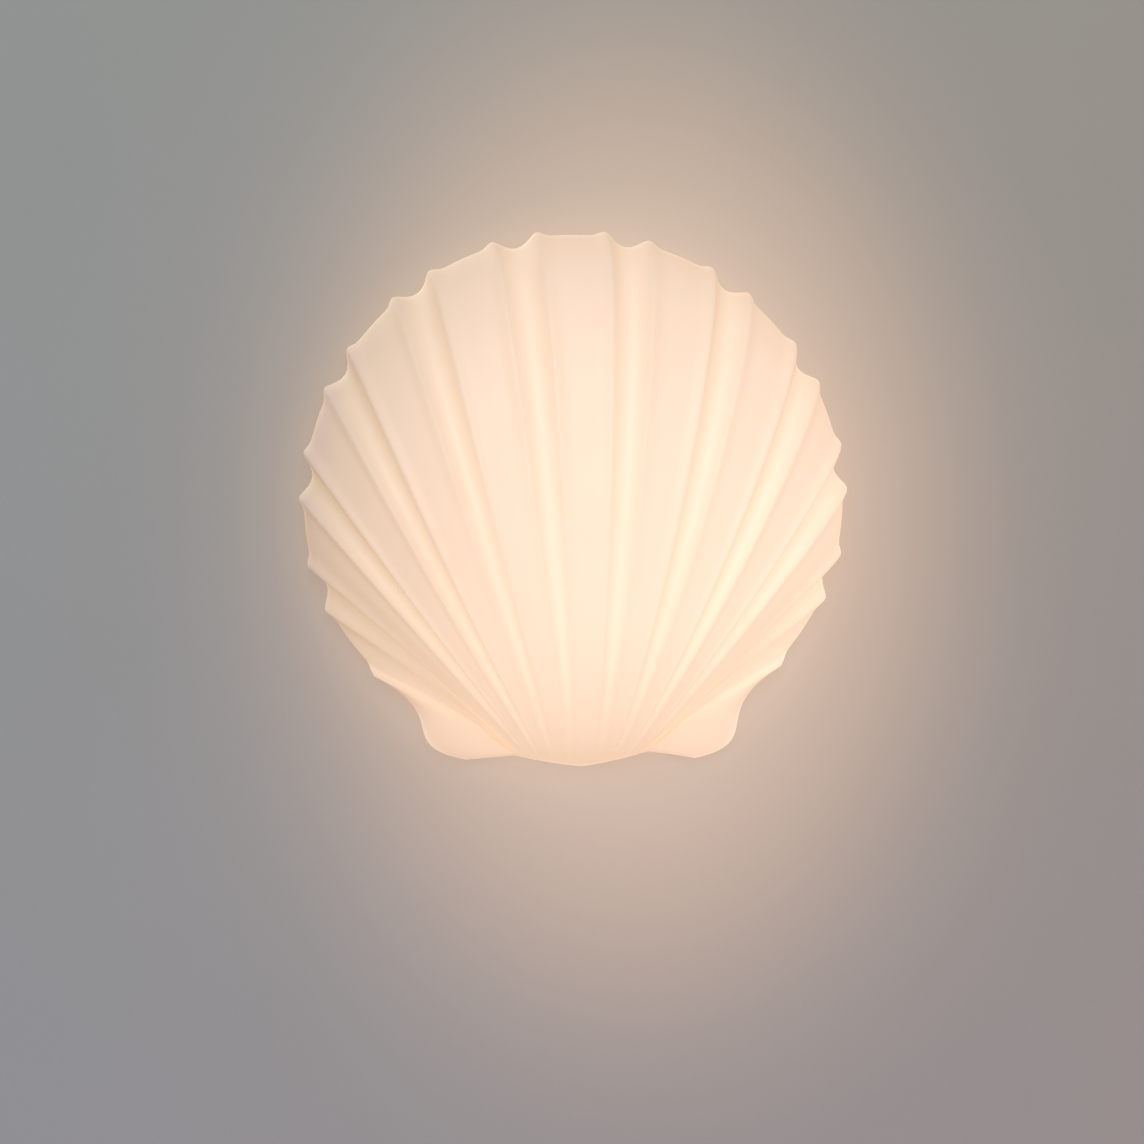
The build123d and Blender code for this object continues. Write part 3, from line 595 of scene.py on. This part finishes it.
# --- Finishes --------------------------------------------------------------------------------------------
def opal_glass():
    """Satin opal glass lit by the bulb behind it.

    Each channel of the glow is its peak less a fall that grows with the way from the bulb's place, a little
    more in the grooves and where light leaves the edge of the glass, and a little less along the thick
    crests.  The marks of the ribs fade out towards the beak, and those of the outermost ribs show high up.
    """
    finish = Finish("lit_opal_glass", Roughness=0.42, IOR=1.5)
    x, _, z = finish.split(finish.place())
    right = (x - glow_centre[0]).math("MAXIMUM", 0.0) / glow_reach_right
    left = (glow_centre[0] - x).math("MAXIMUM", 0.0) / glow_reach_left
    above = (z - glow_centre[1]).math("MAXIMUM", 0.0) / glow_reach_up
    below = (glow_centre[1] - z).math("MAXIMUM", 0.0) / glow_reach_down
    away = (right**2.0 + left**2.0 + above**2.0 + below**2.0) ** (glow_power / 2)
    turns, share, _ = finish.split(finish.add("ShaderNodeUVMap", {"uv_map": shell_map}))
    out = abs(turns)
    place = abs(turns - turns.math("ROUND"))
    ear = out.above(*ear_begins)
    on_fan = 1.0 - out.above(*outer_ribs_begin)
    drawn = (on_fan + (1.0 - on_fan) * share.above(*outer_ribs_show)) * share.above(*beak_clears)
    drawn = drawn * (1.0 - out.above(*fan_ends))
    crest = place.bump_at(crest_line_place, crest_line_width) * drawn
    groove = place.above(*groove_rounds) * drawn
    rim = share.above(*top_edge).math("MAXIMUM", out.above(*ear_edge))
    rim = rim.math("MAXIMUM", 1.0 - share.above(*base_edge))
    cloud = finish.noise(opal_cloud_cells, detail=2.0) - 0.5
    channels = []
    for c in range(3):
        level = glow_peak[c] - glow_fall[c] * away - ear_shade[c] * ear + rim_light[c] * rim
        level += groove_light[c] * groove - crest_shade[c] * crest + opal_cloud_light * cloud
        channels.append(level.math("MAXIMUM", 0.0))
    finish.set(Base_Color=opal_base, Emission_Color=finish.colour(channels), Emission_Strength=1.0)
    return finish.relief(finish.noise(opal_ripple_cells, detail=1.0), opal_ripple_depth)


def mottled(
    name, low, high, cells, smooth, rough, grain_cells, grain_depth, stretch=(1.0, 1.0, 1.0), **constants
):
    """Surface whose colour and roughness wander with a soft noise, under a finer grain that bumps it.

    The colour goes from low to high while the roughness goes from smooth to rough.
    """
    finish = Finish(name, **constants)
    cloud = finish.noise(cells, detail=2.0)
    finish.set(Base_Color=finish.mix(cloud, low, high), Roughness=smooth + (rough - smooth) * cloud)
    return finish.relief(finish.noise(grain_cells, stretch=stretch), grain_depth)


def clear_silicone():
    """Milky clear silicone with a matt skin."""
    return mottled(
        "clear_silicone",
        low=(0.66, 0.66, 0.63), high=(0.76, 0.76, 0.73), cells=160.0, smooth=0.38, rough=0.52,
        grain_cells=1500.0, grain_depth=0.00003, Transmission_Weight=0.25, IOR=1.41,
    )


def white_lacquer():
    """Satin stove lacquer with a fine orange peel."""
    return mottled(
        "white_lacquer",
        low=(0.78, 0.77, 0.74), high=(0.83, 0.82, 0.79), cells=35.0, smooth=0.26, rough=0.38,
        grain_cells=650.0, grain_depth=0.00005, Coat_Weight=0.25, Coat_Roughness=0.18,
    )


def zinc_plated_steel():
    """Bright zinc with bluish spangle and a drawn grain."""
    return mottled(
        "zinc_plated_steel",
        low=(0.50, 0.54, 0.58), high=(0.72, 0.72, 0.69), cells=260.0, smooth=0.20, rough=0.42,
        grain_cells=2600.0, grain_depth=0.00002, stretch=(1.0, 1.0, 0.08), Metallic=1.0,
    )


def white_moulding():
    """Moulded lampholder plastic, evenly white with a fine spark-eroded texture."""
    return mottled(
        "white_moulding",
        low=(0.78, 0.77, 0.73), high=(0.83, 0.82, 0.79), cells=70.0, smooth=0.30, rough=0.42,
        grain_cells=1900.0, grain_depth=0.00003,
    )


def porcelain():
    """Fired core, slightly uneven and speckled."""
    return mottled(
        "porcelain",
        low=(0.76, 0.74, 0.69), high=(0.88, 0.87, 0.84), cells=420.0, smooth=0.20, rough=0.45,
        grain_cells=900.0, grain_depth=0.00004, Coat_Weight=0.2, Coat_Roughness=0.2,
    )


def bare_brass():
    """Rolled brass, a little tarnished, with fine lines round the holder's axis."""
    return mottled(
        "bare_brass",
        low=(0.55, 0.38, 0.15), high=(0.80, 0.61, 0.28), cells=240.0, smooth=0.16, rough=0.38,
        grain_cells=2600.0, grain_depth=0.00002, stretch=(1.0, 0.08, 0.08), Metallic=1.0,
    )


def clear_moulding():
    """Natural nylon of the terminal block: cloudy and half clear."""
    return mottled(
        "clear_moulding",
        low=(0.70, 0.72, 0.70), high=(0.84, 0.85, 0.83), cells=190.0, smooth=0.30, rough=0.48,
        grain_cells=1300.0, grain_depth=0.00003, Transmission_Weight=0.35, IOR=1.53,
    )


def insulation(name, low, high):
    """Extruded wire insulation with faint lengthwise drag lines."""
    return mottled(
        name,
        low=low, high=high, cells=insulation_cells, smooth=0.30, rough=0.46,
        grain_cells=2400.0, grain_depth=0.00003, stretch=(1.0, 1.0, 0.15),
    )


def brown_insulation():
    """Brown sleeve of the live lead."""
    return insulation("brown_insulation", low=(0.13, 0.055, 0.025), high=(0.21, 0.095, 0.045))


def blue_insulation():
    """Blue sleeve of the neutral lead."""
    return insulation("blue_insulation", low=(0.03, 0.11, 0.40), high=(0.05, 0.17, 0.52))


def green_yellow_insulation():
    """Green sleeve with a yellow stripe that winds slowly round the earth lead."""
    finish = insulation("green_yellow_insulation", *earth_green)
    x, y, z = finish.split(finish.place())
    turn = (x * stripe_winding[0] + y * stripe_winding[1] + z * stripe_winding[2]).math("FRACT")
    stripe = turn.above(*stripe_begins) * (1.0 - turn.above(*stripe_ends))
    cloud = finish.noise(insulation_cells, detail=2.0)
    green = finish.mix(cloud, *earth_green)
    yellow = finish.mix(cloud, *earth_yellow)
    finish.set(Base_Color=finish.mix(stripe, green, yellow))
    return finish


def tinned_copper():
    """Dull tin over copper, which shows through a little."""
    return mottled(
        "tinned_copper",
        low=(0.60, 0.50, 0.42), high=(0.76, 0.74, 0.70), cells=500.0, smooth=0.24, rough=0.45,
        grain_cells=2200.0, grain_depth=0.00002, Metallic=1.0,
    )


def black_rubber():
    """Matt black rubber with a chalky bloom."""
    return mottled(
        "black_rubber",
        low=(0.022, 0.022, 0.023), high=(0.055, 0.055, 0.054), cells=260.0, smooth=0.55, rough=0.80,
        grain_cells=1800.0, grain_depth=0.00004,
    )


def solder():
    """Cast solder, bright and lumpy."""
    return mottled(
        "solder",
        low=(0.48, 0.48, 0.50), high=(0.68, 0.68, 0.68), cells=420.0, smooth=0.16, rough=0.42,
        grain_cells=420.0, grain_depth=0.00025, Metallic=1.0,
    )


def black_glass():
    """Glossy black glass of the cap's insulating ring, with small bubbles."""
    return mottled(
        "black_glass",
        low=(0.012, 0.012, 0.018), high=(0.035, 0.033, 0.045), cells=320.0, smooth=0.06, rough=0.18,
        grain_cells=900.0, grain_depth=0.00006, Coat_Weight=0.4, Coat_Roughness=0.05,
    )


def nickel_plated_brass():
    """Nickel with a warm cast and turned lines round the cap."""
    return mottled(
        "nickel_plated_brass",
        low=(0.58, 0.55, 0.48), high=(0.76, 0.74, 0.69), cells=260.0, smooth=0.14, rough=0.32,
        grain_cells=2600.0, grain_depth=0.00002, stretch=(1.0, 0.08, 0.08), Metallic=1.0,
    )


def frosted_bulb_glass():
    """Frosted envelope, lit: brightest round the filament and warmer towards the neck."""
    finish = Finish("frosted_bulb_glass", Base_Color=(0.55, 0.53, 0.49), IOR=1.5)
    x, _, _ = finish.split(finish.place())
    cloud = finish.noise(bulb_cloud_cells, detail=2.0)
    near = x.above(bulb_lowest[0], filament_place)
    glow = finish.ramp(near + bulb_cloud_shift * (cloud - 0.5), bulb_glow)
    finish.set(Emission_Color=glow, Emission_Strength=1.0, Roughness=bulb_smooth + bulb_roughening * cloud)
    return finish.relief(finish.noise(3000.0, detail=2.0), depth=0.00002)


def lamp_glass():
    """Clear drawn glass of the stem, with faint striae."""
    return mottled(
        "lamp_glass",
        low=(0.88, 0.91, 0.91), high=(0.95, 0.96, 0.96), cells=300.0, smooth=0.02, rough=0.10,
        grain_cells=700.0, grain_depth=0.00004, stretch=(0.1, 1.0, 1.0), Transmission_Weight=0.9, IOR=1.5,
    )


def tungsten():
    """Filament at working heat: orange at its ends and nearly white in its middle."""
    finish = Finish("tungsten", Base_Color=(0.30, 0.28, 0.26), Metallic=1.0, Roughness=0.5)
    _, _, z = finish.split(finish.place())
    glow = finish.ramp(z.bump_at(0.0, filament_hot_half), filament_glow)
    finish.set(Emission_Color=glow, Emission_Strength=1.0)
    return finish.relief(finish.noise(4000.0, detail=1.0, stretch=(1.0, 1.0, 3.0)), depth=0.00005)


def dress_nodes():
    """Gives every carried-over node the finish of its material slot, each made once."""
    makers = (
        clear_silicone, white_lacquer, zinc_plated_steel, white_moulding, porcelain, bare_brass,
        clear_moulding, brown_insulation, blue_insulation, green_yellow_insulation, tinned_copper,
        black_rubber, solder, black_glass, nickel_plated_brass, frosted_bulb_glass, lamp_glass, tungsten,
    )
    finishes = {make.__name__: make() for make in makers}
    for row in frame["record"]["subparts"]:
        if row["material_slot"] in finishes:
            finishes[row["material_slot"]].dress(frame["nodes"][row["node"]])


# --- The pieces ------------------------------------------------------------------------------------------
glass = opal_glass()
shell = glass_shell()
lugs = hang_lugs()
for piece in (shell, lugs):
    glass.dress(piece)
    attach(piece, "shade")
    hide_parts("glass_shell")
dress_nodes()


# --- The stage, the lamps and the camera -----------------------------------------------------------------
def one_sided(finish):
    """Shows a stage surface to rays from its front, and lets all others and every lamp's light through."""
    seen = finish.add("ShaderNodeLightPath", {}, output="Is Camera Ray")
    for ray in ("Is Glossy Ray", "Is Transmission Ray"):
        seen = seen.math("MAXIMUM", finish.add("ShaderNodeLightPath", {}, output=ray))
    front = 1.0 - finish.add("ShaderNodeNewGeometry", {}, output="Backfacing")
    clear = finish.add("ShaderNodeBsdfTransparent", {})
    painted = Value(finish, finish.shader.outputs[0])
    shown = finish.add("ShaderNodeMixShader", {}, seen * front, clear, painted)
    finish.plug(finish.output.inputs["Surface"], shown)
    return finish


def painted_wall():
    """Matt painted wall, with painted room light that changes to the right and upwards, and the warm light
    that the lamp throws on it.

    Beyond an upright oval round the lamp the light falls off by exp(-way / near) and exp(-(way / far)^2),
    and a little more of it lies close round the shell's edge.
    """
    finish = Finish("painted_wall", Roughness=0.9, Specular_IOR_Level=0.1)
    x, _, z = finish.split(finish.place())
    out = (((x - halo_centre[0]) * halo_narrowing) ** 2.0 + (z - halo_centre[1]) ** 2.0) ** 0.5
    beyond = (out - halo_edge).math("MAXIMUM", 0.0)
    near = (-(beyond / halo_near)).math("EXPONENT")
    far = (-((beyond / halo_far) ** 2.0)).math("EXPONENT")
    off_edge = ((x**2.0 + z**2.0) ** 0.5 - rim_radius).math("MAXIMUM", 0.0)
    close = (-(off_edge / edge_light_reach)).math("EXPONENT")
    channels = []
    for c in range(3):
        # Painted room light, changing across and up the wall.
        room_light = wall_painted_light[c] + wall_painted_light_right[c] * x + wall_painted_light_up[c] * z
        light = near_light[c] * near + far_light[c] * far + edge_light[c] * close
        channels.append((room_light + light).math("MAXIMUM", 0.0))
    paint = finish.mix(finish.noise(wall_cloud_cells, detail=2.0), *wall_paint)
    finish.set(Base_Color=paint, Emission_Color=finish.colour(channels), Emission_Strength=1.0)
    finish.relief(finish.noise(wall_grain_cells, detail=4.0), wall_grain_depth)
    return one_sided(finish)


def pale_floor():
    """Pale matt floor, a little uneven."""
    finish = Finish("pale_floor", Roughness=0.8)
    finish.set(Base_Color=finish.mix(finish.noise(floor_cloud_cells), *floor_paint))
    return finish


def stage_sheet(name, corners, finish):
    """Flat four-cornered stage surface."""
    sheet = new_piece(name, np.array(corners), [[0, 1, 2, 3]])
    finish.dress(sheet)


def stage():
    """Grey wall just behind the plate and a pale floor well below the lamp."""
    sides = ((-1, -1), (1, -1), (1, 1), (-1, 1))
    heights = {-1: floor_height, 1: wall_top}
    wall = [(right * stage_reach, wall_behind, heights[up]) for right, up in sides]
    floor = [(right * stage_reach, back * stage_reach, floor_height) for right, back in sides]
    stage_sheet("wall", wall, painted_wall())
    stage_sheet("floor", floor, pale_floor())


def area_lamp(name, place, size, power):
    """Square soft lamp that shines from place towards the origin."""
    light = bpy.data.lights.new(name, "AREA")
    light.energy = power
    light.size = size
    lamp = bpy.data.objects.new(name, light)
    bpy.context.scene.collection.objects.link(lamp)
    lamp.location = place
    lamp.rotation_euler = (-Vector(place)).to_track_quat("-Z", "Y").to_euler()


def lights():
    """Even world light and two large soft lamps, one in front and one behind."""
    world = bpy.data.worlds.new("studio")
    world.use_nodes = True
    background = world.node_tree.nodes["Background"]
    background.inputs["Color"].default_value = (1.0, 1.0, 1.0, 1.0)
    background.inputs["Strength"].default_value = world_light
    bpy.context.scene.world = world
    area_lamp("front_lamp", front_lamp_place, front_lamp_size, front_lamp_power)
    area_lamp("back_lamp", back_lamp_place, back_lamp_size, back_lamp_power)


def camera():
    """Level camera, slightly to the left, at the photograph's distance and frame."""
    view = bpy.data.objects.new("camera", bpy.data.cameras.new("camera"))
    bpy.context.scene.collection.objects.link(view)
    view.data.lens = camera_lens
    view.location = (
        camera_aim[0] + camera_distance * math.sin(camera_turn),
        camera_aim[1] - camera_distance * math.cos(camera_turn),
        camera_aim[2],
    )
    view.rotation_euler = (math.pi / 2, 0.0, camera_turn)
    bpy.context.scene.camera = view


stage()
lights()
camera()
bpy.context.scene.view_settings.view_transform = "Standard"
